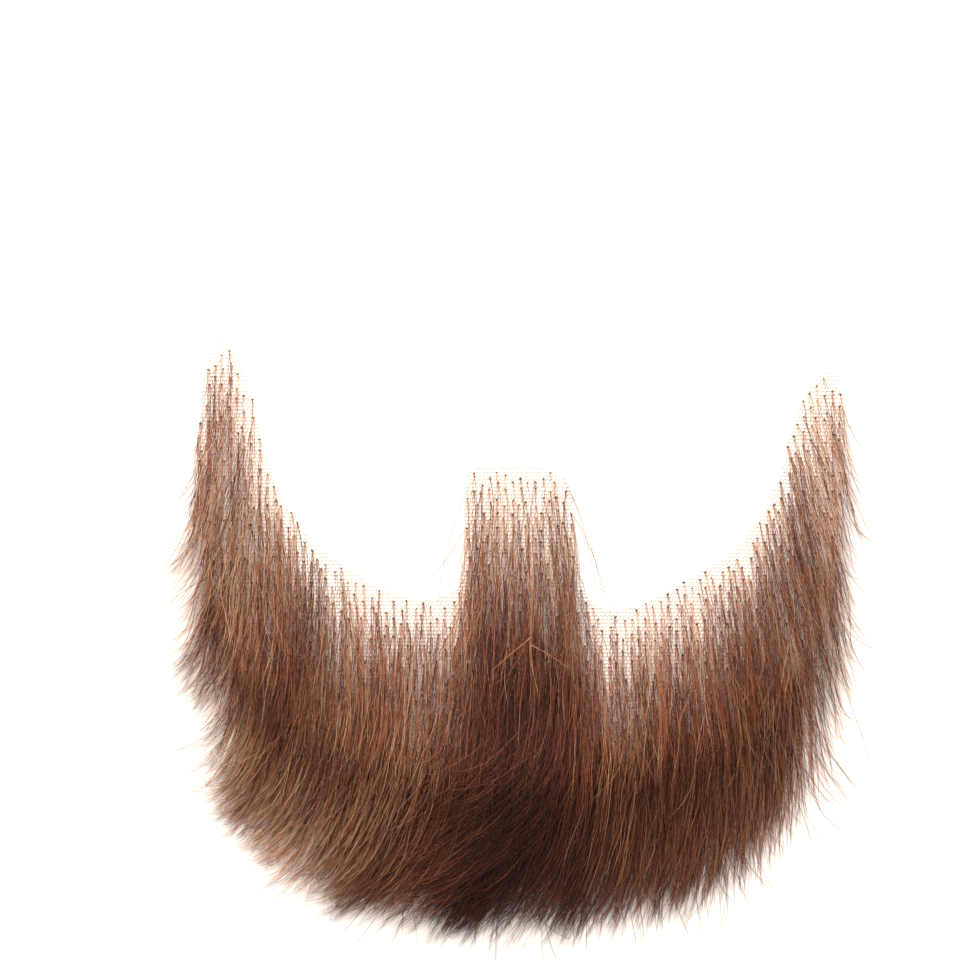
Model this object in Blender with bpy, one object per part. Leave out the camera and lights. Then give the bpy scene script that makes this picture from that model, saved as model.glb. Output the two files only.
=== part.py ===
"""Hand-tied false beard, laid flat with its skin side down.

A fine lace base is cut to the shape of a chin beard: a band along the jaw, two side arms that
run up the cheeks, and a soul patch under the lip. Hair is knotted all over the lace and combed
down the face. Each field of hair is one solid: tapered locks fused to the mat of knotted roots.

Units are metres, +Z is up and away from the skin, -Y is down the face.
The origin is on the skin side of the lace, in the middle of the chin.
"""

import math
import random
from collections import namedtuple

import bmesh
import bpy

MM = 0.001

# Driving dimensions
LACE_THICKNESS = 1.0 * MM
GAP = 0.3 * MM  # between neighbouring solids
ROOT_MAT_HEIGHT = 0.9 * MM  # the mat of knots and first crossings of the hairs
ROOT_MAT_INSET = 1.6 * MM  # bare lace left round the hair
ROOT_HEIGHT = 0.9 * MM  # where a lock starts, over the lace
EDGE_POINTS_PER_SPAN = 3
LOCK_SPACING_EDGE = 4.8 * MM  # along the row of locks that follows the lace's edge
LOCK_SPACING_X = 5.2 * MM
LOCK_SPACING_Y = 7.4 * MM
LOCK_EDGE_INSET = 2.6 * MM
LOCK_CLEAR_OF_ROW = 4.1 * MM
LOCK_WIDTH = 6.0 * MM  # of a lock on the chin; shorter hair makes narrower locks
RIDGE_HEIGHT = 0.75  # height of a lock's rounded ridge over its half width
TIP_HEIGHT = 0.5 * MM
PATH_STEPS = 20
LOCK_SECTIONS = ((0.0, 0.55), (0.3, 1.0), (0.65, 0.95), (0.88, 0.55))  # along, fullness
LOCK_FULL_LENGTH = 30.0 * MM
BEND_POWER = 1.5  # hairs stay straight near the root and turn towards the tip
DROOP = 0.82  # share of its height that a hair loses past the lace's edge
CUTTER_REACH = 25.0 * MM
HAIR_CEILING = 40.0 * MM
RANDOM_SEED = 7

EdgePoint = namedtuple("EdgePoint", "x y")
Groom = namedtuple("Groom", "x y lean_root lean_tip length loft")
Parting = namedtuple("Parting", "name inner_x inner_y outer_x outer_y")
Field = namedtuple("Field", "name first_parting last_parting colour")

# The lace's edge in mm, once round: down the left arm's inner side, over the soul patch,
# up to the right arm's tip, and back along the jaw.
LACE_EDGE = [
    EdgePoint(-55.5, 56.5),
    EdgePoint(-52.3, 52.0),
    EdgePoint(-50.3, 46.0),
    EdgePoint(-48.0, 36.5),
    EdgePoint(-44.5, 27.0),
    EdgePoint(-39.8, 19.8),
    EdgePoint(-33.5, 14.3),
    EdgePoint(-26.5, 10.2),
    EdgePoint(-20.0, 7.9),
    EdgePoint(-14.5, 8.2),
    EdgePoint(-11.3, 11.5),
    EdgePoint(-10.6, 20.0),
    EdgePoint(-10.4, 29.0),
    EdgePoint(-8.6, 32.3),
    EdgePoint(-3.0, 32.8),
    EdgePoint(4.0, 32.4),
    EdgePoint(8.6, 30.4),
    EdgePoint(10.2, 26.0),
    EdgePoint(10.8, 18.0),
    EdgePoint(12.2, 10.0),
    EdgePoint(15.6, 6.0),
    EdgePoint(22.5, 6.5),
    EdgePoint(31.9, 11.8),
    EdgePoint(40.0, 16.8),
    EdgePoint(45.0, 23.2),
    EdgePoint(49.3, 32.5),
    EdgePoint(51.5, 41.5),
    EdgePoint(55.4, 49.2),
    EdgePoint(58.8, 51.0),
    EdgePoint(60.8, 47.0),
    EdgePoint(61.6, 36.0),
    EdgePoint(60.6, 23.5),
    EdgePoint(58.4, 10.5),
    EdgePoint(54.6, -3.0),
    EdgePoint(46.6, -14.8),
    EdgePoint(34.6, -22.0),
    EdgePoint(19.1, -26.2),
    EdgePoint(0.0, -27.4),
    EdgePoint(-19.7, -25.6),
    EdgePoint(-36.0, -20.4),
    EdgePoint(-48.3, -11.2),
    EdgePoint(-56.0, 2.0),
    EdgePoint(-59.7, 15.0),
    EdgePoint(-60.9, 26.3),
    EdgePoint(-60.9, 37.0),
    EdgePoint(-60.0, 47.0),
    EdgePoint(-58.6, 54.0),
]

# How the hair rooted near each place lies: its lean from straight down at root and tip
# (degrees, positive towards +X), its length and the height it is combed to (mm).
GROOM = [
    Groom(-55.9, 54.4, 0, -4, 17, 2.5),
    Groom(-59.4, 39.4, -2, -20, 18, 3.0),
    Groom(-49.1, 37.5, 0, 2, 20, 4.0),
    Groom(-60.0, 26.3, -6, -42, 19, 4.0),
    Groom(-43.1, 22.5, 2, 0, 22, 5.0),
    Groom(-55.9, 5.6, -6, -45, 20, 6.5),
    Groom(-45.0, 3.8, 0, -20, 24, 8.0),
    Groom(-31.9, 11.3, 2, 0, 25, 6.0),
    Groom(-46.9, -12.2, -6, -46, 26, 9.0),
    Groom(-33.8, -7.5, 0, -28, 28, 10.0),
    Groom(-33.8, -20.6, -8, -50, 30, 10.0),
    Groom(-16.9, 6.6, 0, -2, 27, 7.0),
    Groom(-16.9, -11.3, -4, -30, 32, 12.0),
    Groom(-18.8, -24.4, -10, -56, 33, 12.0),
    Groom(-0.9, 30.0, 0, 2, 24, 4.5),
    Groom(0.0, 16.9, 0, 0, 28, 8.0),
    Groom(0.0, 0.0, -2, -12, 33, 12.0),
    Groom(1.9, -15.0, -8, -42, 36, 14.0),
    Groom(0.0, -26.3, -12, -50, 34, 13.0),
    Groom(16.9, 3.8, 2, 2, 27, 8.0),
    Groom(18.8, -11.3, 0, -12, 32, 12.0),
    Groom(18.8, -24.4, -5, -34, 33, 13.0),
    Groom(31.9, 9.4, 3, 4, 25, 7.0),
    Groom(33.8, -7.5, 3, -4, 30, 10.0),
    Groom(33.8, -19.7, 2, -18, 31, 11.0),
    Groom(48.0, -10.5, 6, -4, 31, 9.0),
    Groom(43.1, 11.3, 5, 6, 26, 7.0),
    Groom(56.0, 3.0, 7, 8, 29, 7.0),
    Groom(48.8, 28.1, 5, 8, 21, 4.5),
    Groom(60.0, 30.0, 8, 16, 19, 3.5),
    Groom(57.2, 46.9, 8, 14, 16, 2.5),
]

# Partings between the fields of hair, across the lace from its inner to its outer edge (mm).
PARTINGS = [
    Parting("left_parting", -24.0, 9.2, -27.0, -23.8),
    Parting("right_parting", 25.0, 8.0, 29.0, -24.0),
]
FIELDS = [
    Field("left_side_hair", None, 0, (0.26, 0.11, 0.06)),
    Field("chin_hair", 0, 1, (0.15, 0.06, 0.035)),
    Field("right_side_hair", 1, None, (0.24, 0.10, 0.055)),
]
TONGUE_UNDERLAP = 4.0 * MM  # chin hair rooted below this also comes out from under the tongue
SOUL_PATCH_COLOUR = (0.22, 0.09, 0.05)
LACE_COLOUR = (0.80, 0.66, 0.55)

# Where the soul patch's hair lies over the chin: a tongue outline in mm, once round.
SOUL_PATCH_TONGUE = [
    EdgePoint(-12.4, 42.0),
    EdgePoint(12.6, 42.0),
    EdgePoint(14.6, 6.0),
    EdgePoint(13.2, -2.0),
    EdgePoint(9.6, -9.0),
    EdgePoint(4.0, -13.2),
    EdgePoint(-3.0, -12.8),
    EdgePoint(-8.6, -8.0),
    EdgePoint(-11.4, -1.0),
    EdgePoint(-12.2, 9.0),
]

# Outline tools


def smooth_closed(points, per_span):
    """Points on a Catmull-Rom curve through a closed list of mm points, in metres."""
    smooth = []
    count = len(points)
    for i in range(count):
        before, start, end, after = (points[(i + k) % count] for k in (-1, 0, 1, 2))
        for step in range(per_span):
            t = step / per_span
            smooth.append(
                tuple(
                    MM * 0.5 * (
                        2 * start[a]
                        + (end[a] - before[a]) * t
                        + (2 * before[a] - 5 * start[a] + 4 * end[a] - after[a]) * t**2
                        + (3 * start[a] - before[a] - 3 * end[a] + after[a]) * t**3
                    )
                    for a in (0, 1)
                )
            )
    return smooth


def grown(outline, by):
    """A clockwise outline moved outwards by a distance, or inwards if it is negative."""
    moved = []
    count = len(outline)
    for i in range(count):
        before, here, after = outline[i - 1], outline[i], outline[(i + 1) % count]
        along = (after[0] - before[0], after[1] - before[1])
        size = math.hypot(*along)
        point = (here[0] - along[1] / size * by, here[1] + along[0] / size * by)
        if min(math.dist(point, other) for other in outline) > 0.98 * abs(by):
            moved.append(point)
    return moved


def inside(outline, x, y):
    """Whether a point is inside a closed outline, by counting the edges to its right."""
    crossings = 0
    for i in range(len(outline)):
        (x0, y0), (x1, y1) = outline[i - 1], outline[i]
        if (y0 > y) != (y1 > y) and x < x0 + (y - y0) / (y1 - y0) * (x1 - x0):
            crossings += 1
    return crossings % 2 == 1


LACE_OUTLINE = smooth_closed(LACE_EDGE, EDGE_POINTS_PER_SPAN)

# Grooming


def groomed(x, y):
    """The groom at a place in metres, weighted from the table by nearness."""
    total = [0.0] * 4
    weights = 0.0
    for row in GROOM:
        distance = math.hypot(x / MM - row.x, y / MM - row.y)
        weight = 1.0 / (distance + 1.0) ** 3
        weights += weight
        for k, value in enumerate(row[2:]):
            total[k] += weight * value
    lean_root, lean_tip, length, loft = (value / weights for value in total)
    return math.radians(lean_root), math.radians(lean_tip), length * MM, loft * MM


def combed_path(x, y, steps, stretch=1.0):
    """Centre points of a lock from its root at x, y: it climbs over the lace, then droops."""
    lean_root, lean_tip, length, loft = groomed(x, y)
    length *= stretch
    plan = [(x, y)]
    for i in range(steps):
        turn = ((i + 0.5) / steps) ** BEND_POWER
        lean = lean_root + (lean_tip - lean_root) * turn
        x += math.sin(lean) * length / steps
        y -= math.cos(lean) * length / steps
        plan.append((x, y))
    on_lace = sum(inside(LACE_OUTLINE, *point) for point in plan[1:]) / steps
    path = []
    for i, (x, y) in enumerate(plan):
        share = i / steps
        if share <= on_lace:
            height = ROOT_HEIGHT + loft * share
        else:
            past = (share - on_lace) / (1 - on_lace)
            height = (ROOT_HEIGHT + loft * on_lace) * (1 - DROOP * past**1.4)
        path.append((x, y, LACE_THICKNESS + height))
    return path


# Mesh tools


def new_object(name, mesh_data, collection):
    made = bpy.data.objects.new(name, mesh_data)
    collection.objects.link(made)
    return made


def as_mesh(name, bm):
    bmesh.ops.recalc_face_normals(bm, faces=bm.faces)
    mesh_data = bpy.data.meshes.new(name)
    bm.to_mesh(mesh_data)
    bm.free()
    return mesh_data


def prism(name, outline, low, high, collection):
    """An upright prism on a plan outline, both in metres."""
    bm = bmesh.new()
    base = bm.faces.new([bm.verts.new((x, y, low)) for x, y in outline])
    extruded = bmesh.ops.extrude_face_region(bm, geom=[base])
    top = [v for v in extruded["geom"] if isinstance(v, bmesh.types.BMVert)]
    bmesh.ops.translate(bm, verts=top, vec=(0, 0, high - low))
    return new_object(name, as_mesh(name, bm), collection)


def hidden(helper):
    """A cutter or a lock that goes into a Boolean, and isn't a piece of its own."""
    helper.hide_render = True
    helper.display_type = "WIRE"
    return helper


def lock(name, x, y, chance, collection):
    """A tapered lock along its combed path: a rounded ridge on top, filled down to the roots."""
    path = combed_path(x, y, PATH_STEPS, stretch=chance.uniform(0.92, 1.06))
    length = sum(math.dist(path[i], path[i + 1]) for i in range(PATH_STEPS))
    width = LOCK_WIDTH * (length / LOCK_FULL_LENGTH) ** 0.5 * chance.uniform(0.9, 1.1)
    crest = chance.uniform(-0.3, 0.3)
    floor = LACE_THICKNESS + GAP + chance.uniform(0.05, 0.25) * MM
    bm = bmesh.new()
    rings = []
    for share, fullness in LOCK_SECTIONS:
        i = round(share * PATH_STEPS)
        here, ahead = path[i], path[i + 1]
        run = math.dist(here[:2], ahead[:2])
        across = ((ahead[1] - here[1]) / run, (here[0] - ahead[0]) / run)
        half_width = width * fullness / 2
        ridge = half_width * RIDGE_HEIGHT
        top = max(here[2], floor + ridge) + ridge / 2
        section = (
            (1.04, floor),
            (0.96, top - ridge),
            (crest, top),
            (-0.96, top - ridge),
            (-1.04, floor),
        )
        ring = []
        for out, z in section:
            x, y = (here[a] + across[a] * out * half_width for a in (0, 1))
            ring.append(bm.verts.new((x, y, z)))
        rings.append(ring)
    for near, far in zip(rings, rings[1:]):
        for side in range(len(near)):
            after = (side + 1) % len(near)
            bm.faces.new((near[side], near[after], far[after], far[side]))
    bm.faces.new(rings[0])
    x, y, z = path[-1]
    tip_top = bm.verts.new((x, y, max(z, floor + TIP_HEIGHT)))
    tip_foot = bm.verts.new((x, y, floor))
    last = rings[-1]
    bm.faces.new((last[0], last[1], tip_top, tip_foot))
    for side in range(1, len(last) - 2):
        bm.faces.new((last[side], last[side + 1], tip_top))
    bm.faces.new((last[-2], last[-1], tip_foot, tip_top))
    bm.faces.new((last[-1], last[0], tip_foot))
    bmesh.ops.triangulate(bm, faces=bm.faces)  # a bent lock has no flat quads
    return hidden(new_object(name, as_mesh(name, bm), collection))


def boolean(target, name, operation, operand):
    """A Boolean modifier on the target, with one object or a collection."""
    modifier = target.modifiers.new(name, "BOOLEAN")
    modifier.solver = "EXACT"
    modifier.operation = operation
    if isinstance(operand, bpy.types.Collection):
        modifier.operand_type = "COLLECTION"
        modifier.collection = operand
    else:
        modifier.object = operand


def finish(made, colour, roughness):
    """The object's own material."""
    material = bpy.data.materials.new(made.name + "_material")
    material.use_nodes = True
    shader = material.node_tree.nodes["Principled BSDF"]
    shader.inputs["Base Color"].default_value = (*colour, 1.0)
    shader.inputs["Roughness"].default_value = roughness
    shader.inputs["Metallic"].default_value = 0.0
    made.data.materials.append(material)


# Fields of hair


def parting_line(parting, side):
    """The plan line of a parting, moved half a gap towards one side (-1 or 1)."""
    inner = (parting.inner_x * MM, parting.inner_y * MM)
    outer = (parting.outer_x * MM, parting.outer_y * MM)
    size = math.dist(inner, outer)
    inward = ((inner[0] - outer[0]) / size, (inner[1] - outer[1]) / size)
    start = (inner[0] + inward[0] * CUTTER_REACH / 2, inner[1] + inward[1] * CUTTER_REACH / 2)
    line = [start, inner] + [point[:2] for point in combed_path(*outer, steps=4)]
    run = (line[-1][0] - line[-2][0], line[-1][1] - line[-2][1])
    size = math.hypot(*run)
    line.append(
        (line[-1][0] + run[0] / size * CUTTER_REACH, line[-1][1] + run[1] / size * CUTTER_REACH)
    )
    moved = []
    for i, here in enumerate(line):
        before, after = line[max(i - 1, 0)], line[min(i + 1, len(line) - 1)]
        along = (after[0] - before[0], after[1] - before[1])
        size = math.hypot(*along)
        shift = side * GAP / 2 / size
        moved.append((here[0] - along[1] * shift, here[1] + along[0] * shift))
    return moved


def field_outline(field):
    """The plan area that a field may fill, from one parting to the next."""
    far = 0.11
    if field.first_parting is None:
        last = parting_line(PARTINGS[field.last_parting], -1)
        return last + [(-far, last[-1][1]), (-far, far), (last[0][0], far)]
    if field.last_parting is None:
        first = parting_line(PARTINGS[field.first_parting], 1)
        return first + [(far, first[-1][1]), (far, far), (first[0][0], far)]
    first = parting_line(PARTINGS[field.first_parting], 1)
    last = parting_line(PARTINGS[field.last_parting], -1)
    return first + last[::-1]


def hair_field(name, outline, roots, colour, helpers, kept_free=None):
    """One field of hair: locks fused to the root mat, then trimmed to the field's area."""
    locks = bpy.data.collections.new(name + "_locks")
    helpers.children.link(locks)
    chance = random.Random(f"{RANDOM_SEED} {name}")
    for i, (x, y) in enumerate(roots):
        lock(f"{name}_lock_{i}", x, y, chance, locks)
    low = LACE_THICKNESS + GAP
    mat_outline = grown(LACE_OUTLINE, -ROOT_MAT_INSET)
    made = prism(name, mat_outline, low, low + ROOT_MAT_HEIGHT, bpy.context.scene.collection)
    area = hidden(prism(name + "_area", outline, 0.0, HAIR_CEILING, helpers))
    boolean(made, "fuse_locks", "UNION", locks)
    boolean(made, "keep_area", "INTERSECT", area)
    if kept_free:
        boolean(made, "keep_free", "DIFFERENCE", kept_free)
    finish(made, colour, 0.45)
    return made


def lock_roots():
    """Roots of the locks: a row that follows the lace's edge, and a staggered grid inside it."""
    bed = grown(LACE_OUTLINE, -LOCK_EDGE_INSET)
    chance = random.Random(RANDOM_SEED)
    roots = []
    walked = 0.0
    for start, end in zip(bed, bed[1:] + bed[:1]):
        walked += math.dist(start, end)
        if walked >= LOCK_SPACING_EDGE:
            walked -= LOCK_SPACING_EDGE
            roots.append(end)
    edge_row = list(roots)
    for row in range(-4, 9):
        for column in range(-14, 15):
            x = (column + 0.5 * (row % 2)) * LOCK_SPACING_X + chance.uniform(-0.5, 0.5) * MM
            y = row * LOCK_SPACING_Y + chance.uniform(-0.8, 0.8) * MM
            clear = min(math.dist((x, y), other) for other in edge_row) > LOCK_CLEAR_OF_ROW
            if clear and inside(bed, x, y):
                roots.append((x, y))
    return roots


def main():
    for old in list(bpy.data.objects):
        bpy.data.objects.remove(old)
    helpers = bpy.data.collections.new("helpers")
    helpers.hide_render = True
    bpy.context.scene.collection.children.link(helpers)

    lace = prism("lace_base", LACE_OUTLINE, 0.0, LACE_THICKNESS, bpy.context.scene.collection)
    finish(lace, LACE_COLOUR, 0.8)

    tongue = [(point.x * MM, point.y * MM) for point in SOUL_PATCH_TONGUE]
    tongue_room = hidden(
        prism("tongue_room", grown(tongue, GAP), -GAP, HAIR_CEILING + GAP, helpers)
    )

    roots = lock_roots()
    soul_roots = [root for root in roots if inside(tongue, *root)]
    hair_field("soul_patch_hair", tongue, soul_roots, SOUL_PATCH_COLOUR, helpers)
    for field in FIELDS:
        outline = field_outline(field)
        own_roots = [
            (x, y)
            for x, y in roots
            if inside(outline, x, y) and (y < TONGUE_UNDERLAP or not inside(tongue, x, y))
        ]
        kept_free = tongue_room if field.name == "chin_hair" else None
        hair_field(field.name, outline, own_roots, field.colour, helpers, kept_free)


main()
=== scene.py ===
# %% [markdown]
# # A false chin beard, hair by hair
#
# The object is a hand-tied false beard. A wig maker cuts fine lace to the shape of a chin beard
# and knots hair to it with a small hook, a few hairs at a time. It lies flat on a white table
# with its skin side down, and the camera looks straight down on it.
#
# Hair could be made with Blender's hair curves, but those are drawn only at render time. Here each
# hair is a thin tapered mesh tube, so it is real geometry in every view and in the exported model.
# Lengths in this lesson are in millimetres and are made metres when a mesh is built.

# %% Load the measured frame
import math

import bpy
import numpy as np
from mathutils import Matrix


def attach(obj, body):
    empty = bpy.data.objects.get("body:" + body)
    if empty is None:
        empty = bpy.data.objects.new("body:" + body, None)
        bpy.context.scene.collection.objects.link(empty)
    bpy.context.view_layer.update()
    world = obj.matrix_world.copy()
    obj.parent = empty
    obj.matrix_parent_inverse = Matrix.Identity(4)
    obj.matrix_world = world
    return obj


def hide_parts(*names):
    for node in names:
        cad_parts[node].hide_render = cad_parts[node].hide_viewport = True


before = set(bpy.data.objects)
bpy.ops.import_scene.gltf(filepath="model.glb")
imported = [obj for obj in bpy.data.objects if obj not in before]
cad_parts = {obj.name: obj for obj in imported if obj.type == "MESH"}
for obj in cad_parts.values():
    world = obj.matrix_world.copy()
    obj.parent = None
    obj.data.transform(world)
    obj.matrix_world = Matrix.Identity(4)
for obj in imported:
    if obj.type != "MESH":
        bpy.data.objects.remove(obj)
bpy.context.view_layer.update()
MM = 0.001
chance = np.random.default_rng(21)

# %% [markdown]
# ## The cut of the lace
#
# The lace is one piece: a band along the jaw, an arm up each cheek, and a tongue that carries
# the soul patch. A pattern maker would draw it as a few points and a smooth line through them,
# and so does this cell, with a Catmull-Rom curve. X runs to the right and Y up the face, from the
# middle of the chin.

# %% Lace outline
LACE_EDGE = [
    (-55.5, 56.5), (-52.3, 52.0), (-50.3, 46.0), (-48.0, 36.5), (-44.5, 27.0), (-39.8, 19.8),
    (-33.5, 14.3), (-26.5, 10.2), (-20.0, 7.9), (-14.5, 8.2), (-11.3, 11.5), (-10.6, 20.0),
    (-10.4, 29.0), (-8.6, 32.3), (-3.0, 32.8), (4.0, 32.4), (8.6, 30.4), (10.2, 26.0),
    (10.8, 18.0), (12.2, 10.0), (15.6, 6.0), (22.5, 6.5), (31.9, 11.8), (40.0, 16.8),
    (45.0, 23.2), (49.3, 32.5), (51.5, 41.5), (55.4, 49.2), (58.8, 51.0), (60.8, 47.0),
    (61.6, 36.0), (60.6, 23.5), (58.4, 10.5), (54.6, -3.0), (46.6, -14.8), (34.6, -22.0),
    (19.1, -26.2), (0.0, -27.4), (-19.7, -25.6), (-36.0, -20.4), (-48.3, -11.2), (-56.0, 2.0),
    (-59.7, 15.0), (-60.9, 26.3), (-60.9, 37.0), (-60.0, 47.0), (-58.6, 54.0),
]
RIGHT_ARM_TIP = 28  # the row of LACE_EDGE at the tip of the right arm
POINTS_PER_SPAN = 4


def smooth_closed(points, per_span):
    """Points on a Catmull-Rom curve through a closed list of points."""
    p = np.array(points, float)
    before, after, beyond = np.roll(p, 1, 0), np.roll(p, -1, 0), np.roll(p, -2, 0)
    spans = []
    for t in np.arange(per_span) / per_span:
        slope = (after - before) * t
        square = (2 * before - 5 * p + 4 * after - beyond) * t**2
        cube = (3 * p - before - 3 * after + beyond) * t**3
        spans.append(0.5 * (2 * p + slope + square + cube))
    return np.stack(spans, 1).reshape(-1, 2)


lace_outline = smooth_closed(LACE_EDGE, POINTS_PER_SPAN)

# %% [markdown]
# Two questions come up again and again: is a place on the lace, and how far is it from the edge?
# The first counts how often a line to the right crosses the outline. The second measures to the
# outline's points, which are close enough together for that.

# %% Ask about a place


def inside(outline, x, y):
    """Whether each place is inside a closed outline."""
    crossings = np.zeros(np.shape(x), int)
    for (x0, y0), (x1, y1) in zip(outline, np.roll(outline, -1, 0)):
        if y0 != y1:
            crossings += ((y0 > y) != (y1 > y)) & (x < x0 + (y - y0) / (y1 - y0) * (x1 - x0))
    return crossings % 2 == 1


def distance_to(outline, x, y):
    """Distance from each place to the nearest point of an outline."""
    return np.min(np.hypot(x[:, None] - outline[:, 0], y[:, None] - outline[:, 1]), axis=1)


print("the origin is on the lace:", bool(inside(lace_outline, np.array(0.0), np.array(0.0))))

# %% [markdown]
# ## Where the hair is knotted
#
# The maker works along the holes of the lace, so the knots stand in columns. In a column they are
# 2.8 mm apart, and the next column is 1.4 mm away and starts half a step lower. A knot can slip to
# the next hole, which the jitter stands for. Places off the lace are left out at the end, which is
# simpler than following the edge.

# %% Knots
COLUMN_SPACING = 1.4
KNOT_SPACING = 2.8
JITTER_ACROSS = 0.22
JITTER_ALONG = 0.40
HAIRLESS_MARGIN = 0.8  # bare lace round the hair

columns = np.arange(-46, 47)
steps = np.arange(-13, 23)
column, step = (grid.ravel() for grid in np.meshgrid(columns, steps))
knot_x = column * COLUMN_SPACING + chance.normal(0, JITTER_ACROSS, column.size)
knot_y = (step + 0.5 * (column % 2)) * KNOT_SPACING + chance.normal(0, JITTER_ALONG, column.size)
kept = inside(lace_outline, knot_x, knot_y)
kept &= distance_to(lace_outline, knot_x, knot_y) > HAIRLESS_MARGIN
knot_x, knot_y = knot_x[kept], knot_y[kept]
print("knots:", knot_x.size)

# %% [markdown]
# ## How the hair is combed
#
# Hair on a beard has a direction, a length, a height and a colour that change slowly from place to
# place. This table says what they are at some thirty places, and every hair takes a mean of the
# rows, in which the rows near its root count most. A lean is the angle in degrees from straight
# down the face, positive to the right: the first at the root, the second at the tip, so on the
# left the hair curls outwards. The maker knots two or three hairs at a time near the mouth, so the
# edge looks natural, and the most along the jaw. Lightness runs from 0 for black-brown to 1 for
# straw.

# %% Groom
GROOM = np.array([
    # x, y, lean at root, lean at tip, length, height, hairs in a knot, lightness
    (-55.9, 54.4, 0, -4, 17, 2.5, 2.5, 0.56), (-59.4, 39.4, -2, -30, 18, 3.0, 2.5, 0.60),
    (-49.1, 37.5, 0, 2, 20, 4.0, 3.2, 0.55), (-60.0, 26.3, -6, -50, 18, 4.0, 4.8, 0.65),
    (-43.1, 22.5, 2, 0, 22, 5.0, 4.2, 0.50), (-55.9, 5.6, -6, -56, 20, 6.5, 8.5, 0.66),
    (-45.0, 3.8, 0, -24, 24, 8.0, 5.5, 0.38), (-31.9, 11.3, 2, 0, 25, 6.0, 3.6, 0.47),
    (-46.9, -12.2, -6, -60, 26, 9.0, 17.0, 0.74), (-33.8, -7.5, 0, -34, 28, 10.0, 5.0, 0.50),
    (-33.8, -20.6, -8, -64, 30, 10.0, 18.0, 0.98), (-16.9, 6.6, 0, -2, 27, 7.0, 3.6, 0.54),
    (-16.9, -11.3, -4, -38, 32, 12.0, 2.2, 0.62), (-18.8, -24.4, -10, -70, 32, 12.0, 22.0, 0.40),
    (-0.9, 30.0, 0, 2, 24, 4.5, 2.6, 0.62), (0.0, 16.9, 0, 0, 28, 8.0, 3.3, 0.46),
    (0.0, 0.0, -2, -14, 33, 12.0, 8.0, 0.19), (1.9, -15.0, -8, -50, 35, 14.0, 12.0, 0.10),
    (0.0, -26.3, -12, -52, 33, 13.0, 28.0, 0.18), (16.9, 3.8, 2, 2, 27, 8.0, 2.6, 0.54),
    (18.8, -11.3, 0, -14, 32, 12.0, 2.7, 0.48), (18.8, -24.4, -5, -40, 32, 13.0, 24.0, 0.29),
    (31.9, 9.4, 3, 4, 25, 7.0, 2.8, 0.53), (33.8, -7.5, 3, -4, 30, 10.0, 4.6, 0.39),
    (33.8, -19.7, 2, -22, 31.5, 11.0, 21.0, 0.45), (48.0, -10.5, 6, -6, 29, 9.0, 13.5, 0.56),
    (43.1, 11.3, 7, 12, 26, 7.0, 5.2, 0.42), (56.0, 3.0, 9, 16, 23, 7.0, 3.0, 0.62),
    (48.8, 28.1, 11, 20, 21, 4.5, 5.9, 0.43), (60.0, 30.0, 11, 34, 14, 3.5, 1.8, 0.68),
    (57.2, 46.9, 11, 38, 14, 2.5, 2.3, 0.58),
])


def groomed(x, y):
    """The table's values for hairs rooted at x, y, one array for each column after the first two."""
    distance = np.hypot(x[:, None] - GROOM[:, 0], y[:, None] - GROOM[:, 1])
    weight = 1 / (distance + 1) ** 3
    return (weight @ GROOM[:, 2:] / weight.sum(1)[:, None]).T


hairs_in_knot = groomed(knot_x, knot_y)[4]
print("hairs in a knot:", hairs_in_knot.min().round(1), "to", hairs_in_knot.max().round(1))

# %% [markdown]
# In the last rows at the outer edge the maker knots about twice as many hairs, to hide the end of
# the lace. The edge meant is the part that runs from the tip of one arm, under the chin, to the
# tip of the other. A bell curve of the distance to it says how far a knot belongs to this rim.

# %% Fuller at the outer edge
OUTER_EDGE = lace_outline[RIGHT_ARM_TIP * POINTS_PER_SPAN :]
RIM_WIDTH = 2.6
RIM_FULLNESS = 1.1

rim = np.exp(-((distance_to(OUTER_EDGE, knot_x, knot_y) / RIM_WIDTH) ** 2))
hairs_in_knot = hairs_in_knot * (1 + RIM_FULLNESS * rim)
print("knots at the rim:", int((rim > 0.5).sum()))

# %% [markdown]
# A comb never leaves hair perfectly even, and hair from several heads is never one colour. A sum of
# a few broad waves makes a smooth random pattern: neighbouring hairs agree and far ones don't.

# %% Smooth unevenness
DRIFT_ANGLE = math.radians(1.5)
DOWN_THE_FACE = 0.6  # below 1, patches are longer down the face than across it


def uneven(waves, shortest, longest):
    """A smooth random pattern with waves of these lengths in mm, as a function of place."""
    heading = chance.uniform(0, 2 * np.pi, waves)
    length = chance.uniform(shortest, longest, waves)
    phase = chance.uniform(0, 2 * np.pi, waves)

    def pattern(x, y):
        across = x[:, None] * np.cos(heading) + DOWN_THE_FACE * y[:, None] * np.sin(heading)
        return np.sin(2 * np.pi * across / length + phase).sum(1)

    return pattern


drift = uneven(waves=7, shortest=7, longest=26)
light_patches = uneven(waves=6, shortest=5, longest=16)
gold_patches = uneven(waves=6, shortest=6, longest=20)
here = np.zeros(1)
print("drift at the origin in degrees:", np.degrees(DRIFT_ANGLE * drift(here, here)).round(2))

# %% [markdown]
# ## The path of each hair
#
# A hair leaves its knot, rises to its layer, follows the comb, and past the edge of the lace it
# droops to the table. Each hair also keeps a little wave and a lean of its own. All hairs are
# worked out at once, which is much faster than a loop: each array has one row for a hair and one
# column for a point along it.

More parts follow.
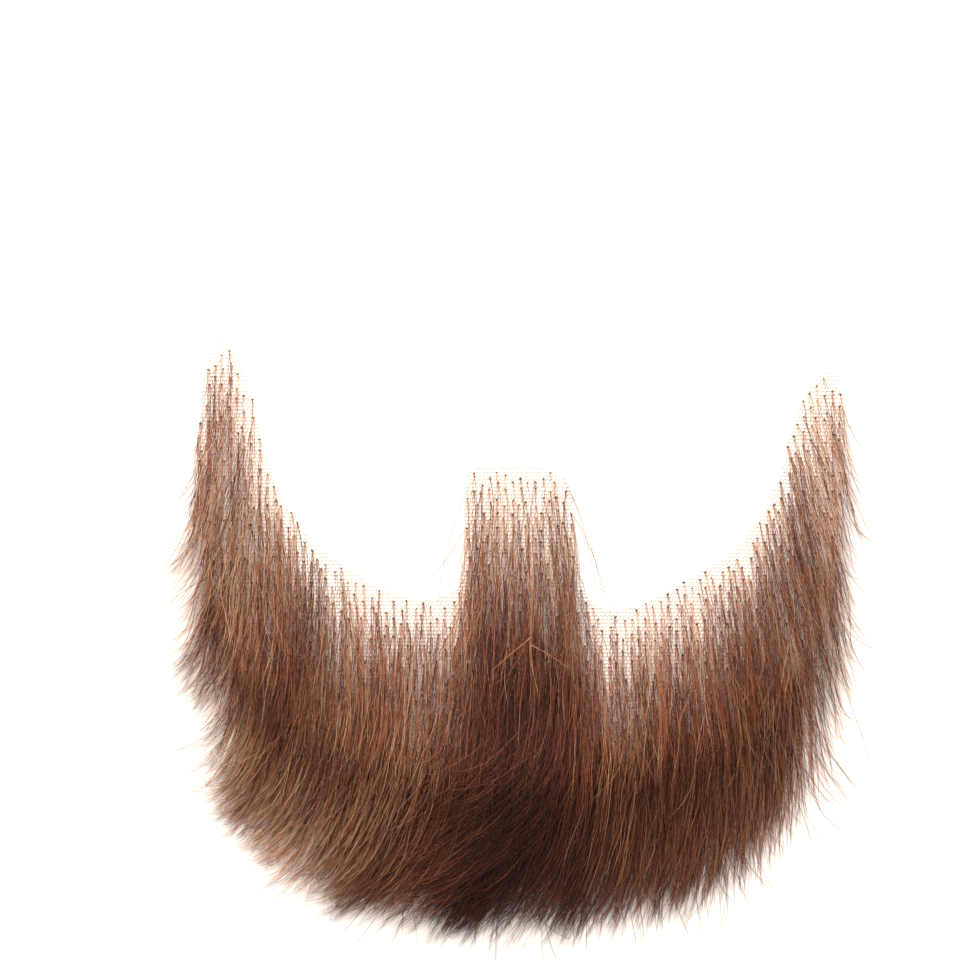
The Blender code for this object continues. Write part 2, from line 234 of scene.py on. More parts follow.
# %% Comb the hairs
SEGMENTS = 9
BEND_POWER = 2.2  # straight near the root, turning towards the tip
WAVINESS = 0.16  # radians
OWN_TURNS = (0.8, 2.4)  # fewest and most waves along a hair
ERROR_AT_ROOT = 0.3  # share of its unevenness that a lean shows at once
ERROR_TO_TIP = 1.3  # what the tip adds to it
DROOP = 0.74  # share of its height that a tip loses
DROOP_POWER = 1.4
LEAST_OVERHANG = 0.1  # share of the hair over which it may droop at the quickest
LACE_TOP = 0.25
ROOT_LIFT = 1.9  # how far a knot makes its hair stand up
ROOT_RISE = 0.07  # share of the hair over which it does
RIPPLE = 0.25
RIPPLE_START = 0.25  # share of the hair over which its ripple grows
LOWEST = 0.15


def comb(x, y, layer, lean_error, stretch, leans=None, bend=BEND_POWER):
    """Paths of hairs in mm, shape (hairs, points, 3). layer is 0 next the skin and 1 on top."""
    lean_root, lean_tip, length, height = groomed(x, y)[:4]
    if leans:
        lean_root, lean_tip = (np.full(x.size, lean) for lean in leans)
    lean_root, lean_tip = np.radians(lean_root), np.radians(lean_tip)
    length = length * stretch
    along = np.arange(SEGMENTS + 1) / SEGMENTS
    middle = (along[1:] + along[:-1]) / 2
    lean = lean_root[:, None] + (lean_tip - lean_root)[:, None] * middle**bend
    phase = chance.uniform(0, 2 * np.pi, (2, x.size, 1))
    turns = chance.uniform(*OWN_TURNS, (x.size, 1))
    lean = lean + DRIFT_ANGLE * drift(x, y)[:, None] * (ERROR_AT_ROOT + middle)
    lean = lean + lean_error[:, None] * (ERROR_AT_ROOT + ERROR_TO_TIP * middle**2)
    lean = lean + WAVINESS * np.sin(2 * np.pi * turns * middle + phase[0])
    run = length[:, None] / SEGMENTS
    path_x = np.column_stack([x, x[:, None] + np.cumsum(np.sin(lean) * run, 1)])
    path_y = np.column_stack([y, y[:, None] - np.cumsum(np.cos(lean) * run, 1)])
    on_lace = inside(lace_outline, path_x[:, 1:], path_y[:, 1:]).mean(1)[:, None]
    share = np.minimum(along, on_lace)
    past = np.clip((along - on_lace) / np.maximum(1 - on_lace, LEAST_OVERHANG), 0, 1)
    body = ROOT_LIFT * (1 - np.exp(-share / ROOT_RISE)) + height[:, None] * share
    ripple = np.sin(2 * np.pi * turns * along + phase[1]) * np.minimum(along / RIPPLE_START, 1)
    path_z = LACE_TOP + layer[:, None] * body * (1 - DROOP * past**DROOP_POWER)
    path_z = path_z + RIPPLE * ripple * (1 - past)
    return np.stack([path_x, path_y, np.maximum(path_z, LOWEST)], axis=2)


print("a hair is drawn with", SEGMENTS, "straight pieces")

# %% [markdown]
# Locks make the hair look combed. A lock has a guide hair at its middle, and the hairs near it
# keep their place beside the guide at the root but close up on it towards the tip. Pulling them
# only part of the way keeps the locks soft, as on washed hair.

# %% Draw hairs together into locks
LOCK_SPACING = 1.7
LOCK_PULL = 0.45  # how far a hair gives up its own path for its lock's
PULL_GROWTH = 1.6  # above 1, the pull is whole before the tip
LOCK_CLOSE = 0.5  # how much narrower a lock is at its tip
CLOSE_POWER = 1.3
LOCK_JITTER = 0.4  # how far a lock is off its place, as a share of the spacing
GUIDE_LAYER = 0.7
GUIDE_ERROR = 3.5  # degrees
GUIDE_LENGTHS = (0.95, 1.05)  # shortest and longest guide, as shares of the table's length


def draw_together(paths, leans=None, bend=BEND_POWER):
    """Hairs moved towards the guides of their locks."""
    roots = paths[:, 0, :2]
    guide_x, guide_y = np.meshgrid(
        np.arange(roots[:, 0].min(), roots[:, 0].max(), LOCK_SPACING),
        np.arange(roots[:, 1].min(), roots[:, 1].max(), LOCK_SPACING),
    )
    guide_x = guide_x.ravel() + chance.uniform(-1, 1, guide_x.size) * LOCK_SPACING * LOCK_JITTER
    guide_y = guide_y.ravel() + chance.uniform(-1, 1, guide_y.size) * LOCK_SPACING * LOCK_JITTER
    error = np.radians(chance.normal(0, GUIDE_ERROR, guide_x.size))
    stretch = chance.uniform(*GUIDE_LENGTHS, guide_x.size)
    layer = np.full(guide_x.size, GUIDE_LAYER)
    guides = comb(guide_x, guide_y, layer, error, stretch, leans, bend)
    nearest = np.argmin(np.hypot(roots[:, :1] - guide_x, roots[:, 1:] - guide_y), axis=1)
    guide = guides[nearest]
    along = np.arange(SEGMENTS + 1) / SEGMENTS
    offset = (paths[:, :1, :2] - guide[:, :1, :2]) * (1 - LOCK_CLOSE * along[:, None] ** CLOSE_POWER)
    drawn = guide[:, :, :2] + offset
    share = (LOCK_PULL * np.minimum(along * PULL_GROWTH, 1))[:, None]
    moved = paths.copy()
    moved[:, :, :2] += (drawn - paths[:, :, :2]) * share
    return moved


print("locks are", LOCK_SPACING, "mm apart")

# %% [markdown]
# ## Knotting the hair in
#
# Every knot gets its number of hairs, and each hair its layer, its error of lean and its length.
# One hair in five is loose, and nearly half of them at the rim. Loose hairs don't keep to a lock,
# lean further and are often shorter, which gives the edge its fine fringe.

# %% Roots and paths of the knotted hairs
KNOT_BLUR = 0.14  # how far a hair's root is from the middle of its knot
LOOSE_SHARE = 0.2
LOOSE_AT_RIM = 0.25
LOWEST_LAYER = 0.12
TOP_HEAVY = 0.75  # a power below 1 puts more hairs in the upper layers
LEAN_ERROR = 7  # degrees
RIM_ERROR = 8  # degrees more at the rim
LOOSE_ERROR = 2.4  # times as much for a loose hair
MOST_ERROR = math.radians(42)
LENGTH_ERROR = 0.09
LENGTHS = (0.6, 1.18)  # shortest and longest hair, as shares of the table's length
LOOSE_LENGTHS = (0.7, 1.05)

count = np.floor(hairs_in_knot + chance.random(hairs_in_knot.size)).astype(int)
root_x = np.repeat(knot_x, count) + chance.normal(0, KNOT_BLUR, count.sum())
root_y = np.repeat(knot_y, count) + chance.normal(0, KNOT_BLUR, count.sum())
hairs = root_x.size
layer = chance.uniform(LOWEST_LAYER, 1.0, hairs) ** TOP_HEAVY
own_rim = np.repeat(rim, count)
lean_error = np.radians(chance.normal(0, 1, hairs) * (LEAN_ERROR + RIM_ERROR * own_rim))
loose = chance.random(hairs) < LOOSE_SHARE + LOOSE_AT_RIM * own_rim
lean_error[loose] *= LOOSE_ERROR
lean_error = lean_error.clip(-MOST_ERROR, MOST_ERROR)
stretch = chance.normal(1.0, LENGTH_ERROR, hairs).clip(*LENGTHS)
stretch[loose] *= chance.uniform(*LOOSE_LENGTHS, loose.sum())
paths = comb(root_x, root_y, layer, lean_error, stretch)
paths[~loose] = draw_together(paths[~loose])
print("hairs:", hairs, "of which loose:", int(loose.sum()))

# %% [markdown]
# A big lock starts in the middle of the chin and sweeps to the left over the others, which gives
# the beard its swirl. Its hairs lie on top, are longer than those round them and turn further.

# %% The lock across the chin
SWEEP_MIDDLE = (4.5, -13.0)
SWEEP_SPREAD = (3.6, 4.5)
SWEEP_HAIRS = 950
SWEEP_LEANS = (-8, -84)
SWEEP_BEND = 1.5
SWEEP_ERROR = 7  # degrees
SWEEP_LAYERS = (0.92, 1.1)
SWEEP_LENGTH = (1.28, 0.14)  # mean and spread, as shares of the table's length

sweep_x = SWEEP_MIDDLE[0] + chance.normal(0, SWEEP_SPREAD[0], SWEEP_HAIRS)
sweep_y = SWEEP_MIDDLE[1] + chance.normal(0, SWEEP_SPREAD[1], SWEEP_HAIRS)
sweep_layer = chance.uniform(*SWEEP_LAYERS, SWEEP_HAIRS)
sweep_error = np.radians(chance.normal(0, SWEEP_ERROR, SWEEP_HAIRS))
sweep_stretch = chance.normal(*SWEEP_LENGTH, SWEEP_HAIRS)
swept = comb(sweep_x, sweep_y, sweep_layer, sweep_error, sweep_stretch, SWEEP_LEANS, SWEEP_BEND)
paths = np.concatenate([paths, draw_together(swept, SWEEP_LEANS, SWEEP_BEND)])
root_x, root_y = np.append(root_x, sweep_x), np.append(root_y, sweep_y)
layer = np.append(layer, np.ones(SWEEP_HAIRS))
print("hairs with the sweeping lock:", len(paths))

# %% [markdown]
# ## From paths to meshes
#
# A mesh of a hundred thousand points is slow to build face by face. Blender's mesh arrays can be
# filled in one go instead, from the points and from lists of faces with four and three corners.
# Every piece rides on the beard's one body.

# %% A piece from points and faces


def new_piece(name, points, faces_of_four, faces_of_three, material):
    """A mesh piece from arrays of points in mm and faces, riding on the beard."""
    shape = bpy.data.meshes.new(name)
    corners = np.concatenate([faces_of_four.ravel(), faces_of_three.ravel()])
    sizes = np.repeat([4, 3], [len(faces_of_four), len(faces_of_three)])
    shape.vertices.add(len(points))
    shape.vertices.foreach_set("co", (points * MM).astype(np.float32).ravel())
    shape.loops.add(corners.size)
    shape.loops.foreach_set("vertex_index", corners.astype(np.int32))
    shape.polygons.add(sizes.size)
    shape.polygons.foreach_set("loop_start", np.concatenate([[0], np.cumsum(sizes)[:-1]]))
    shape.update(calc_edges=True)
    shape.shade_smooth()
    shape.materials.append(material)
    piece = bpy.data.objects.new(name, shape)
    bpy.context.scene.collection.objects.link(piece)
    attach(piece, "root")
    print(name, "has", 2 * len(faces_of_four) + len(faces_of_three), "triangles")
    return piece


# %% [markdown]
# Every hair becomes a three-sided tube that narrows to a point. Three sides are enough for
# something this thin, because its smooth normals still catch the light as a round hair does.
# A ring of three points stands at each point of the path, square to it, and one point ends it.

# %% Tubes round paths
SIDES = 3
RING_ANGLES = np.radians([90, 210, 330])


def tubes(paths, radius, taper):
    """Points and faces of tubes on paths, and how far along its hair each point of one tube is."""
    many, points_along = paths.shape[:2]
    along = np.arange(points_along) / (points_along - 1)
    run = np.gradient(paths, axis=1)
    run /= np.linalg.norm(run, axis=2, keepdims=True)
    across = np.cross(run, [0.0, 0.0, 1.0])
    across /= np.maximum(np.linalg.norm(across, axis=2, keepdims=True), 1e-9)
    up = np.cross(across, run)
    width = radius[:, None, None] * (1 - taper * along[None, :, None] ** 2)
    rings = []
    for angle in RING_ANGLES:
        rings.append(paths + width * (math.cos(angle) * across + math.sin(angle) * up))
    ring = np.stack(rings, axis=2)[:, :-1]
    points = np.concatenate([ring.reshape(many, -1, 3), paths[:, -1:]], axis=1)
    per_hair = points.shape[1]
    quads, thirds = [], [(2, 1, 0)]
    for low in range(0, SIDES * (points_along - 2), SIDES):
        high = low + SIDES
        for side in range(SIDES):
            after = (side + 1) % SIDES
            quads.append((low + side, low + after, high + after, high + side))
    for side in range(SIDES):
        last = SIDES * (points_along - 2)
        thirds.append((last + side, last + (side + 1) % SIDES, per_hair - 1))
    start = (np.arange(many) * per_hair)[:, None, None]
    quads = (np.array(quads) + start).reshape(-1, 4)
    thirds = (np.array(thirds) + start).reshape(-1, 3)
    point_along = np.append(np.repeat(along[:-1], SIDES), 1.0)
    return points.reshape(-1, 3), quads, thirds, point_along


print("points in the tube of one hair:", SIDES * SEGMENTS + 1)

# %% [markdown]
# ## Colours and nodes
#
# Colours are the usual web hex values, which are sRGB and must be made linear before a shader can
# use them. One helper adds any node: its settings are properties such as a mode, its stops are the
# colours of a ramp, and the rest name its sockets and say what goes in. Some sockets share a name,
# so a socket can also be called by its number, as in i0.

# %% Colours and a node helper


def colour(hex_value):
    """An sRGB hex colour as the linear numbers that shaders use."""
    parts = [int(hex_value[i : i + 2], 16) / 255 for i in (1, 3, 5)]
    linear = [p / 12.92 if p <= 0.04045 else ((p + 0.055) / 1.055) ** 2.4 for p in parts]
    return (*linear, 1.0)


def add(tree, kind, settings=None, stops=(), **links):
    """A node of a kind in a tree, with its settings, the stops of its ramp and its links."""
    node = tree.nodes.new(kind)
    for name, value in (settings or {}).items():
        setattr(node, name, value)
    for number, (place, hex_value) in enumerate(stops):
        elements = node.color_ramp.elements
        if number == len(elements):
            elements.new(place)
        elements[number].position = place
        elements[number].color = colour(hex_value)
    for name, value in links.items():
        socket = node.inputs[int(name[1:]) if name[0] == "i" and name[1:].isdigit() else name]
        if isinstance(value, bpy.types.NodeSocket):
            tree.links.new(value, socket)
        else:
            socket.default_value = value
    return node


def new_material(name):
    """An empty node material and its tree."""
    material = bpy.data.materials.new(name)
    material.use_nodes = True
    material.node_tree.nodes.clear()
    return material, material.node_tree


print("chestnut in linear numbers:", [round(part, 3) for part in colour("#6b3f2a")[:3]])

# %% [markdown]
# ## Hair colour
#
# The material is human hair, washed, dyed brown and combed. Hair is keratin with brown pigment
# under clear scales, so its shine has nearly the lamp's colour and its depth is brown. Keratin has
# an IOR of 1.55, and a roughness near 0.4 gives the soft bands of light of combed hair.
#
# Each hair carries a tone, its own colour with streaks of painted shine added, which picks its place
# on a ramp from black-brown to straw, and a share of gold, which mixes a reddish ramp with a golden
# one. A curve makes roots and tips a little lighter than the rest: painted light, as the white table
# glows through thin hair there.

# %% Hair material
AUBURN = [
    (0.0, "#231311"), (0.2, "#48231d"), (0.4, "#793d2e"), (0.62, "#a85b40"),
    (0.85, "#d0875c"), (1.0, "#e8b48e"),
]
GOLDEN = [
    (0.0, "#2c1915"), (0.25, "#5a3327"), (0.45, "#8e563a"), (0.65, "#b57b50"),
    (0.85, "#cf976b"), (1.0, "#e0b894"),
]
NO_LIFT = 0.5
# painted light: roots and tips are lighter where the white table glows through thin hair
PAINTED_GLOW_ALONG = [(0.0, 0.62), (0.3, NO_LIFT), (0.75, NO_LIFT), (1.0, 0.60)]

hair_material, tree = new_material("combed_human_hair")
along = add(tree, "ShaderNodeAttribute", {"attribute_name": "along"}).outputs["Fac"]
tone_and_shine = add(tree, "ShaderNodeAttribute", {"attribute_name": "tone_and_shine"}).outputs["Fac"]
gold = add(tree, "ShaderNodeAttribute", {"attribute_name": "gold"}).outputs["Fac"]
# painted light: this curve lightens the roots and tips of each hair
lift = add(tree, "ShaderNodeFloatCurve", i0=1.0, i1=along)
lift_curve = lift.mapping.curves[0].points
lift_curve[0].location, lift_curve[1].location = PAINTED_GLOW_ALONG[0], PAINTED_GLOW_ALONG[-1]
for place in PAINTED_GLOW_ALONG[1:-1]:
    lift_curve.new(*place)
lift.mapping.update()
painted_glow = add(tree, "ShaderNodeMath", {"operation": "ADD"}, i0=lift.outputs[0], i1=-NO_LIFT)
shade = add(tree, "ShaderNodeMath", {"operation": "ADD"}, i0=painted_glow.outputs[0], i1=tone_and_shine)
auburn = add(tree, "ShaderNodeValToRGB", stops=AUBURN, Fac=shade.outputs[0])
golden = add(tree, "ShaderNodeValToRGB", stops=GOLDEN, Fac=shade.outputs[0])
brown = add(
    tree,
    "ShaderNodeMix",
    {"data_type": "RGBA"},
    i0=gold,
    i6=auburn.outputs["Color"],
    i7=golden.outputs["Color"],
)
shader = add(
    tree,
    "ShaderNodeBsdfPrincipled",
    **{"Base Color": brown.outputs[2], "Specular IOR Level": 0.42},
    **{"Specular Tint": colour("#fcefe4")},
    Roughness=0.36,
    IOR=1.55,
)
add(tree, "ShaderNodeOutputMaterial", Surface=shader.outputs["BSDF"])
print("hair material:", len(tree.nodes), "nodes")

# %% [markdown]
# This beard is dark brown at the chin, reddish along the jaw and golden at the arms and tips. The
# table gave every place its lightness. To this come smooth patches a few millimetres wide, and a
# difference from hair to hair that is large where the beard is light and small where it is dark.
# The lock across the chin keeps one lightness, so that it shows against the dark hair below it.

# %% The look of each hair
SWEEP_LIGHTNESS = 0.34
SPREAD_IN_DARK = 0.05
SPREAD_IN_LIGHT = 0.9
DARKEST = -1.1  # a hair can be much lighter than its neighbours, but not much darker
LIGHT_PATCHES = 0.035
PATCHES_IN_DARK = 0.3  # what the darkest hair still shows of them
MEAN_GOLD = 0.35
GOLD_SPREAD = 0.25
GOLD_PATCHES = 0.13

lightness = groomed(root_x, root_y)[5]
lightness[-SWEEP_HAIRS:] = SWEEP_LIGHTNESS
spread = SPREAD_IN_DARK + SPREAD_IN_LIGHT * lightness**2
lightness += LIGHT_PATCHES * (PATCHES_IN_DARK + lightness) * light_patches(root_x, root_y)
lightness += spread * np.maximum(chance.normal(0, 1, root_x.size), DARKEST)
goldness = chance.normal(MEAN_GOLD, GOLD_SPREAD, root_x.size)
goldness += GOLD_PATCHES * gold_patches(root_x, root_y)
look = np.column_stack([lightness, spread, goldness.clip(0, 1)])
print("mean lightness:", lightness.mean().round(2), "mean share of gold:", look[:, 2].mean().round(2))

# %% [markdown]
# ## Hair in fields
#
# A hair's shine flickers along its length as it twists, so slow streaks of painted highlight
# raise and lower its tone. Each vertex stores how far along its hair it is, its tone with this
# painted shine, and the hair's share of gold, and the shader reads all three. One image texture for
# all hairs would be far too coarse, so a map gives every hair a cell of its own, in which its colours
# can be baked.

# %% Build a field of hair
HAIR_RADIUS = 0.041
TAPER = 0.3  # how much thinner a hair is near its end
PAINTED_SHINE = 0.5  # painted highlight along a hair: change of tone, as a share of the spread
SHINE_TURNS = (1.2, 3.2)  # fewest and most streaks of painted shine along a hair
COMMON_THICKNESS = (0.7, 1.4)  # thinnest and thickest hair, as shares of HAIR_RADIUS
CELL_MARGINS = (0.15, 0.08)  # bare edge of a hair's cell in the map, as shares of the cell


def bake_cells(shape, many, per_hair, corners, point_along):
    """A map named OFBake in which each hair has its own cell."""
    cells = math.ceil(math.sqrt(many))
    own_hair, own_point = corners // per_hair, corners % per_hair
    side = np.where(own_point == per_hair - 1, 1.0, own_point % SIDES)
    beside, below = CELL_MARGINS
    u = (own_hair % cells + beside + (1 - 2 * beside) * side / SIDES) / cells
    v = (own_hair // cells + below + (1 - 2 * below) * point_along[own_point]) / cells
    bake_map = shape.uv_layers.new(name="OFBake")
    bake_map.uv.foreach_set("vector", np.column_stack([u, v]).astype(np.float32).ravel())


def build_hair(name, nodes, own_paths, own_look, thickness=COMMON_THICKNESS):
    """One piece of hair that stands for solid nodes, from paths and from what each looks like."""
    many = len(own_paths)
    radius = HAIR_RADIUS * chance.uniform(*thickness, many)
    points, quads, thirds, point_along = tubes(own_paths, radius, TAPER)
    piece = new_piece(name, points, quads, thirds, hair_material)
    turns = chance.uniform(*SHINE_TURNS, (many, 1))
    phase = chance.uniform(0, 2 * np.pi, (many, 1))
    # painted highlight: the tone rises and falls along each hair where its shine would flicker
    painted_shine = PAINTED_SHINE * np.sin(2 * np.pi * turns * point_along + phase)
    facts = {
        "along": np.tile(point_along, many),
        "tone_and_shine": (own_look[:, 0, None] + own_look[:, 1, None] * painted_shine).ravel(),
        "gold": np.repeat(own_look[:, 2], point_along.size),
    }
    for fact, values in facts.items():
        attribute = piece.data.attributes.new(fact, "FLOAT", "POINT")
        attribute.data.foreach_set("value", values.astype(np.float32))
    corners = np.concatenate([quads.ravel(), thirds.ravel()])
    bake_cells(piece.data, many, point_along.size, corners, point_along)
    if nodes:
        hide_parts(*nodes)
    print(name, "has", many, "hairs")


print("hairs are up to", 2 * HAIR_RADIUS * COMMON_THICKNESS[1], "mm thick")

# %% [markdown]
# The hair is sorted into the fields of the solid model: soul patch, chin, and a side on each arm.
# Straight partings set the sides off from the chin, and a closed line rings the soul patch. The
# chin has so much hair that it is made as three pieces, one above the other.

# %% Sort and build the hair
SOUL_PATCH_TONGUE = np.array([
    (-12.4, 42.0), (12.6, 42.0), (14.6, 6.0), (13.2, -2.0), (9.6, -9.0),
    (4.0, -13.2), (-3.0, -12.8), (-8.6, -8.0), (-11.4, -1.0), (-12.2, 9.0),
])
LEFT_PARTING = ((-24.0, 9.2), (-27.0, -23.8))
RIGHT_PARTING = ((25.0, 8.0), (29.0, -24.0))


def beyond(parting, x, y):
    """How far places lie to the right of a parting line, in mm."""
    (x0, y0), (x1, y1) = parting
    return x - (x0 + (y - y0) / (y1 - y0) * (x1 - x0))


in_tongue = inside(SOUL_PATCH_TONGUE, root_x, root_y)
left_side = ~in_tongue & (beyond(LEFT_PARTING, root_x, root_y) < 0)
right_side = ~in_tongue & (beyond(RIGHT_PARTING, root_x, root_y) > 0)
chin = ~(in_tongue | left_side | right_side)
for name, slot, own in (
    ("soul_patch", "soul_patch_hair", in_tongue),
    ("left_side", "side_hair", left_side),
    ("right_side", "side_hair", right_side),
):
    build_hair(f"{name}_strands", [f"{name}_hair"], paths[own], look[own])
chin_layers = np.quantile(layer[chin], [0, 1 / 3, 2 / 3, 1])
for part, low, high in zip(("under", "middle", "top"), chin_layers[:-1], chin_layers[1:]):
    own = chin & (layer > low) & (layer <= high)
    build_hair(f"chin_{part}_strands", ["chin_hair"], paths[own], look[own])

# %% [markdown]
# ## Stray hairs
#
# A few single hairs lie clear of the rest, and the eye counts them, so they are placed one by one.
# Each is a quadratic Bezier curve: it leaves its first point towards the second and arrives at
# the third. The last number is its lightness.

# %% Place the stray hairs
STRAYS = np.array([
    # x, y, z of three points, lightness
    (8.8, 29.1, 0.6, 13.4, 20.6, 3.0, 16.1, 5.6, 1.4, 0.25),
    (8.0, 30.6, 0.6, 12.6, 22.5, 3.0, 14.4, 8.5, 1.2, 0.4),
    (9.5, 24.0, 0.6, 14.6, 17.0, 3.0, 17.6, 2.0, 1.6, 0.45),
    (-9.2, 29.5, 0.6, -14.0, 20.0, 2.5, -15.6, 6.0, 1.2, 0.5),
    (-9.6, 22.0, 0.6, -14.2, 13.5, 2.5, -19.5, 8.6, 0.9, 0.45),
    (56.5, 2.0, 6.0, 62.0, -11.5, 3.0, 67.1, -25.9, 0.5, 0.15),
    (57.0, 14.0, 5.0, 61.0, 7.0, 3.0, 64.5, 2.0, 0.5, 0.2),
    (60.6, 44.0, 1.0, 62.0, 38.0, 2.5, 66.2, 33.8, 0.5, 0.3),
    (-58.0, 12.0, 4.0, -62.8, 9.6, 1.5, -66.6, 6.4, 0.4, 0.2),
    (-52.0, -6.5, 5.0, -58.0, -8.4, 1.5, -62.3, -9.0, 0.4, 0.3),
    (-51.0, -19.0, 4.0, -56.5, -23.6, 1.5, -59.6, -28.5, 0.4, 0.2),
    (-21.0, -42.5, 4.0, -25.3, -50.4, 1.5, -31.9, -58.5, 0.4, 0.3),
    (-24.0, -44.0, 3.5, -29.3, -50.4, 1.5, -33.9, -55.9, 0.4, 0.25),
    (4.0, -46.0, 5.0, 4.2, -54.2, 1.5, 7.0, -60.5, 0.4, 0.2),
    (1.0, -47.0, 4.0, 4.2, -55.2, 1.5, 10.0, -56.5, 0.4, 0.25),
    (22.0, -44.0, 4.0, 25.0, -49.2, 1.5, 26.6, -53.5, 0.4, 0.2),
    (28.0, -42.0, 4.0, 27.5, -48.2, 1.5, 24.0, -53.0, 0.4, 0.2),
    (50.0, -26.0, 4.0, 53.5, -33.0, 1.5, 55.0, -38.5, 0.4, 0.25),
    (1.9, 0.8, 10.5, -1.5, -2.0, 11.0, -5.6, -5.6, 10.5, 0.8),
    (1.9, -0.6, 10.5, 5.5, -2.2, 11.0, 9.4, -5.3, 10.5, 0.8),
])
STRAY_STEPS = 12
STRAY_SPREAD = 0.1
STRAY_GOLD = 0.4
STRAY_THICKNESS = (1.1, 1.5)

first, turn, last = STRAYS[:, 0:3], STRAYS[:, 3:6], STRAYS[:, 6:9]
t = (np.arange(STRAY_STEPS + 1) / STRAY_STEPS)[:, None, None]
stray_paths = ((1 - t) ** 2 * first + 2 * t * (1 - t) * turn + t**2 * last).transpose(1, 0, 2)
strays = len(STRAYS)
stray_look = np.column_stack(
    [STRAYS[:, 9], np.full(strays, STRAY_SPREAD), np.full(strays, STRAY_GOLD)]
)
build_hair("stray_hairs", [], stray_paths, stray_look, STRAY_THICKNESS)

# %% [markdown]
# ## Knots
#
# Each knot is a tight loop of hair round one thread of the lace. From above it is a dark grain a
# little over half a millimetre across, so an eight-sided ball stands for it. The material is the
# same hair, pulled tight. Its cut and bent fibres scatter light, so to the eye it is dull and
# greyer than the combed hair. A noise mixes its two browns. It is spread over the box of all the
# knots, so its grains are far finer than a knot and mostly their mean shows.

# %% Build the knots
KNOT_RADIUS = 0.30
KNOT_HEIGHT = 0.45
KNOT_SIZES = (0.75, 1.2)  # smallest and largest knot, as shares of KNOT_RADIUS
GRAINS = 900.0  # across the box of all the knots

knot_material, tree = new_material("knotted_human_hair")
speck = add(tree, "ShaderNodeTexNoise", Scale=GRAINS)
dull_brown = add(
    tree,
    "ShaderNodeValToRGB",
    stops=[(0.35, "#4c382e"), (0.65, "#8a7061")],
    Fac=speck.outputs["Fac"],
)
shader = add(
    tree,
    "ShaderNodeBsdfPrincipled",
    **{"Base Color": dull_brown.outputs["Color"]},
    Roughness=0.6,
)
add(tree, "ShaderNodeOutputMaterial", Surface=shader.outputs["BSDF"])

ball = np.array([(1, 0, 0), (0, 1, 0), (-1, 0, 0), (0, -1, 0), (0, 0, 0.7), (0, 0, -0.7)])
ball_faces = np.array([
    (0, 1, 4), (1, 2, 4), (2, 3, 4), (3, 0, 4), (1, 0, 5), (2, 1, 5), (3, 2, 5), (0, 3, 5),
])
size = KNOT_RADIUS * chance.uniform(*KNOT_SIZES, knot_x.size)
centre = np.column_stack([knot_x, knot_y, np.full(knot_x.size, KNOT_HEIGHT)])
points = (centre[:, None] + ball * size[:, None, None]).reshape(-1, 3)
faces = (ball_faces + len(ball) * np.arange(knot_x.size)[:, None, None]).reshape(-1, 3)
knots = new_piece("knots", points, np.zeros((0, 4), int), faces, knot_material)

# %% [markdown]
# ## Lace
#
# Wig lace is a net of six-sided holes under a millimetre wide, twisted from fine flesh-coloured
# nylon thread. It could be a sheet with a transparent pattern, but a real net also looks right
# from close by. First the sides of all the holes are found. Every side is shared by two holes, so
# each hole adds only the three on its right.

# %% Threads of the net
HOLE = 0.8  # across the flats of a hole
THREAD_RADIUS = 0.056
THREAD_HEIGHT = 1.1  # of its middle over the table, in radii

side = HOLE / math.sqrt(3)
row_spacing = 1.5 * side
corner_low, corner_high = lace_outline.min(0), lace_outline.max(0)
hole_columns, hole_rows = np.meshgrid(
    np.arange(math.floor(corner_low[0] / HOLE) - 2, math.ceil(corner_high[0] / HOLE) + 2),
    np.arange(math.floor(corner_low[1] / row_spacing) - 2, math.ceil(corner_high[1] / row_spacing) + 2),
)
hole_x = (hole_columns * HOLE + 0.5 * HOLE * (hole_rows % 2)).ravel()
hole_y = (hole_rows * row_spacing).ravel()
threads = []
for start, end in ((90, 30), (30, -30), (-30, -90)):
    ends = []
    for angle in (math.radians(start), math.radians(end)):
        ends.append((hole_x + side * math.cos(angle), hole_y + side * math.sin(angle)))
    both = inside(lace_outline, *ends[0]) & inside(lace_outline, *ends[1])
    threads.append(np.stack([np.column_stack(place)[both] for place in ends], axis=1))
threads = np.concatenate(threads)
print("threads:", len(threads))

# %% [markdown]
# Each thread is a short three-sided bar that ends inside its neighbours. The material is nylon
# filament, drawn and twisted: matt to the eye because the twist breaks up the shine, pale skin
# colour, and nearly lost against white paper. Nylon has an IOR of 1.53.

# %% Build the lace
lace_material, tree = new_material("twisted_nylon_lace")
shader = add(
    tree,
    "ShaderNodeBsdfPrincipled",
    **{"Base Color": colour("#fae6d0")},
    Roughness=0.55,
    IOR=1.53,
)
add(tree, "ShaderNodeOutputMaterial", Surface=shader.outputs["BSDF"])

along_thread = threads[:, 1] - threads[:, 0]
along_thread /= np.linalg.norm(along_thread, axis=1, keepdims=True)
sideways = np.column_stack([-along_thread[:, 1], along_thread[:, 0]])
corner_points = []
for end in (0, 1):
    for angle in RING_ANGLES:
        flat = threads[:, end] + sideways * THREAD_RADIUS * math.cos(angle)
        lift = np.full(len(threads), THREAD_RADIUS * (THREAD_HEIGHT + math.sin(angle)))
        corner_points.append(np.column_stack([flat, lift]))
points = np.stack(corner_points, axis=1).reshape(-1, 3)
thread_faces = np.array([(0, 1, 4, 3), (1, 2, 5, 4), (2, 0, 3, 5)])
faces = (thread_faces + 6 * np.arange(len(threads))[:, None, None]).reshape(-1, 4)
lace = new_piece("lace_net", points, faces, np.zeros((0, 3), int), lace_material)
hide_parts("lace_base")

# %% [markdown]
# ## Table
#
# The beard lies on white card, pressed smooth but not glossy. To the eye it is plain matt white, so
# it has no pattern, and only a trace of cream that warms the light between the hairs. One large
# flat square is enough for it.

# %% Table
TABLE_HALF = 2  # metres

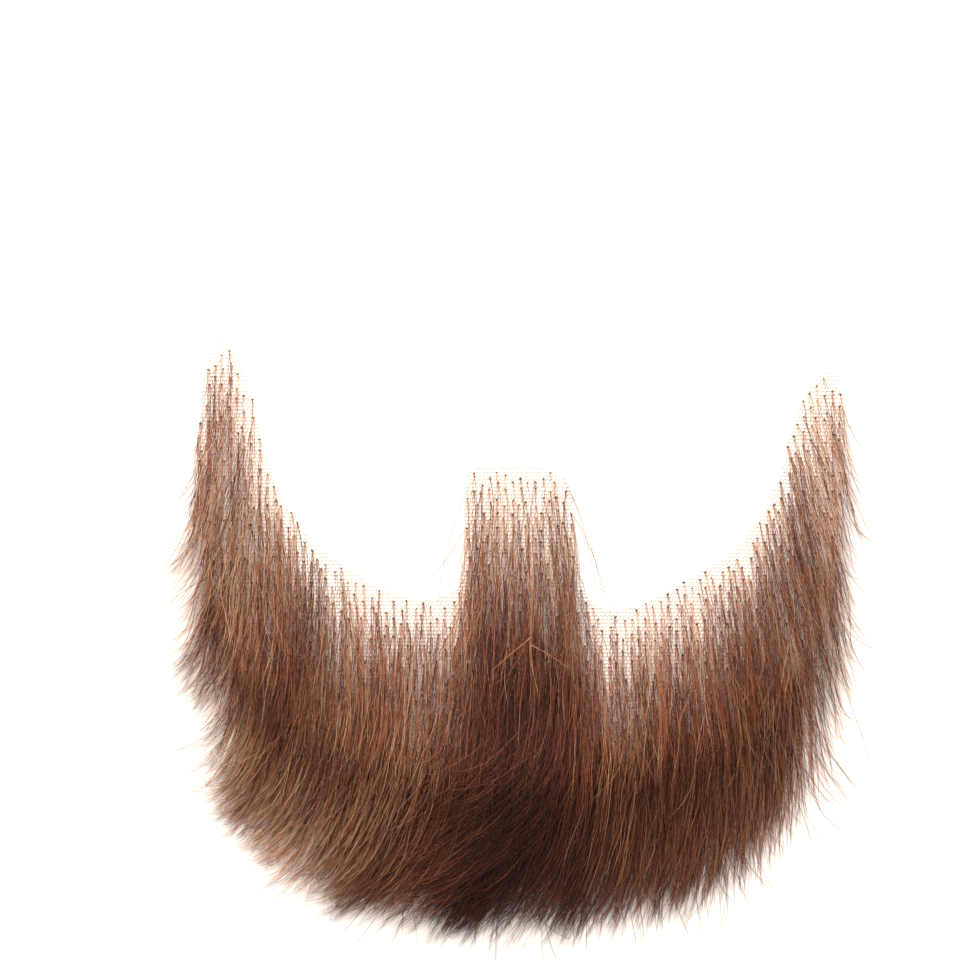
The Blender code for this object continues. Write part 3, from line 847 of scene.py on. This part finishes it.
table_material, tree = new_material("pressed_white_card")
shader = add(tree, "ShaderNodeBsdfPrincipled", **{"Base Color": colour("#fff4ea")}, Roughness=0.9)
add(tree, "ShaderNodeOutputMaterial", Surface=shader.outputs["BSDF"])
table_mesh = bpy.data.meshes.new("table")
table_corners = [(x * TABLE_HALF, y * TABLE_HALF, 0) for x, y in ((-1, -1), (1, -1), (1, 1), (-1, 1))]
table_mesh.from_pydata(table_corners, [], [(0, 1, 2, 3)])
table_mesh.materials.append(table_material)
table = bpy.data.objects.new("table", table_mesh)
bpy.context.scene.collection.objects.link(table)
print("table:", 2 * TABLE_HALF, "m wide")

# %% [markdown]
# ## Light
#
# A catalogue picture has soft light from all round, so bright that the table turns pure white. The
# world gives a third of it. A large lamp beyond the top of the picture stands low, so that its
# light runs along the hair and shows every strand, and its soft shadows fall towards the chin. A
# weaker lamp overhead opens up the dark parts.

# %% Lamps
WORLD_STRENGTH = 0.55

world = bpy.data.worlds.new("studio")
world.use_nodes = True
world.node_tree.nodes["Background"].inputs["Color"].default_value = (1, 1, 1, 1)
world.node_tree.nodes["Background"].inputs["Strength"].default_value = WORLD_STRENGTH
bpy.context.scene.world = world


def lamp(name, place, size, power):
    """A square soft lamp, with place and size in metres and power in watts, aimed at the beard."""
    light = bpy.data.lights.new(name, "AREA")
    light.shape = "SQUARE"
    light.size = size
    light.energy = power
    holder = bpy.data.objects.new(name, light)
    holder.location = place
    holder.rotation_mode = "QUATERNION"
    holder.rotation_quaternion = holder.location.to_track_quat("Z", "Y")
    bpy.context.scene.collection.objects.link(holder)
    print(name, "gives", power, "W")


lamp("key_lamp", (-0.10, 0.55, 0.28), 0.22, 7.8)
lamp("fill_lamp", (0.2, -0.1, 0.9), 0.5, 0.9)

# %% [markdown]
# ## Camera
#
# The camera looks straight down, and 180 mm of table fill the frame. A long lens far up keeps the
# thick chin from looking nearer than the thin arms. The distance follows from the lens: the frame
# is to the distance what the sensor is to the lens. The Standard view shows colours as they are.

# %% Camera
FRAME_WIDTH = 180 * MM
FRAME_CENTRE = (-7.5 * MM, 30.0 * MM)
FRAMED_HEIGHT = 3 * MM  # the height above the table at which the frame has that width

view = bpy.data.cameras.new("camera")
view.lens = 135
view.sensor_width = 36
distance = FRAME_WIDTH * view.lens / view.sensor_width
camera = bpy.data.objects.new("camera", view)
camera.location = (*FRAME_CENTRE, distance + FRAMED_HEIGHT)
bpy.context.scene.collection.objects.link(camera)
bpy.context.scene.camera = camera
bpy.context.scene.view_settings.view_transform = "Standard"
print("camera is", round(distance, 3), "m up")
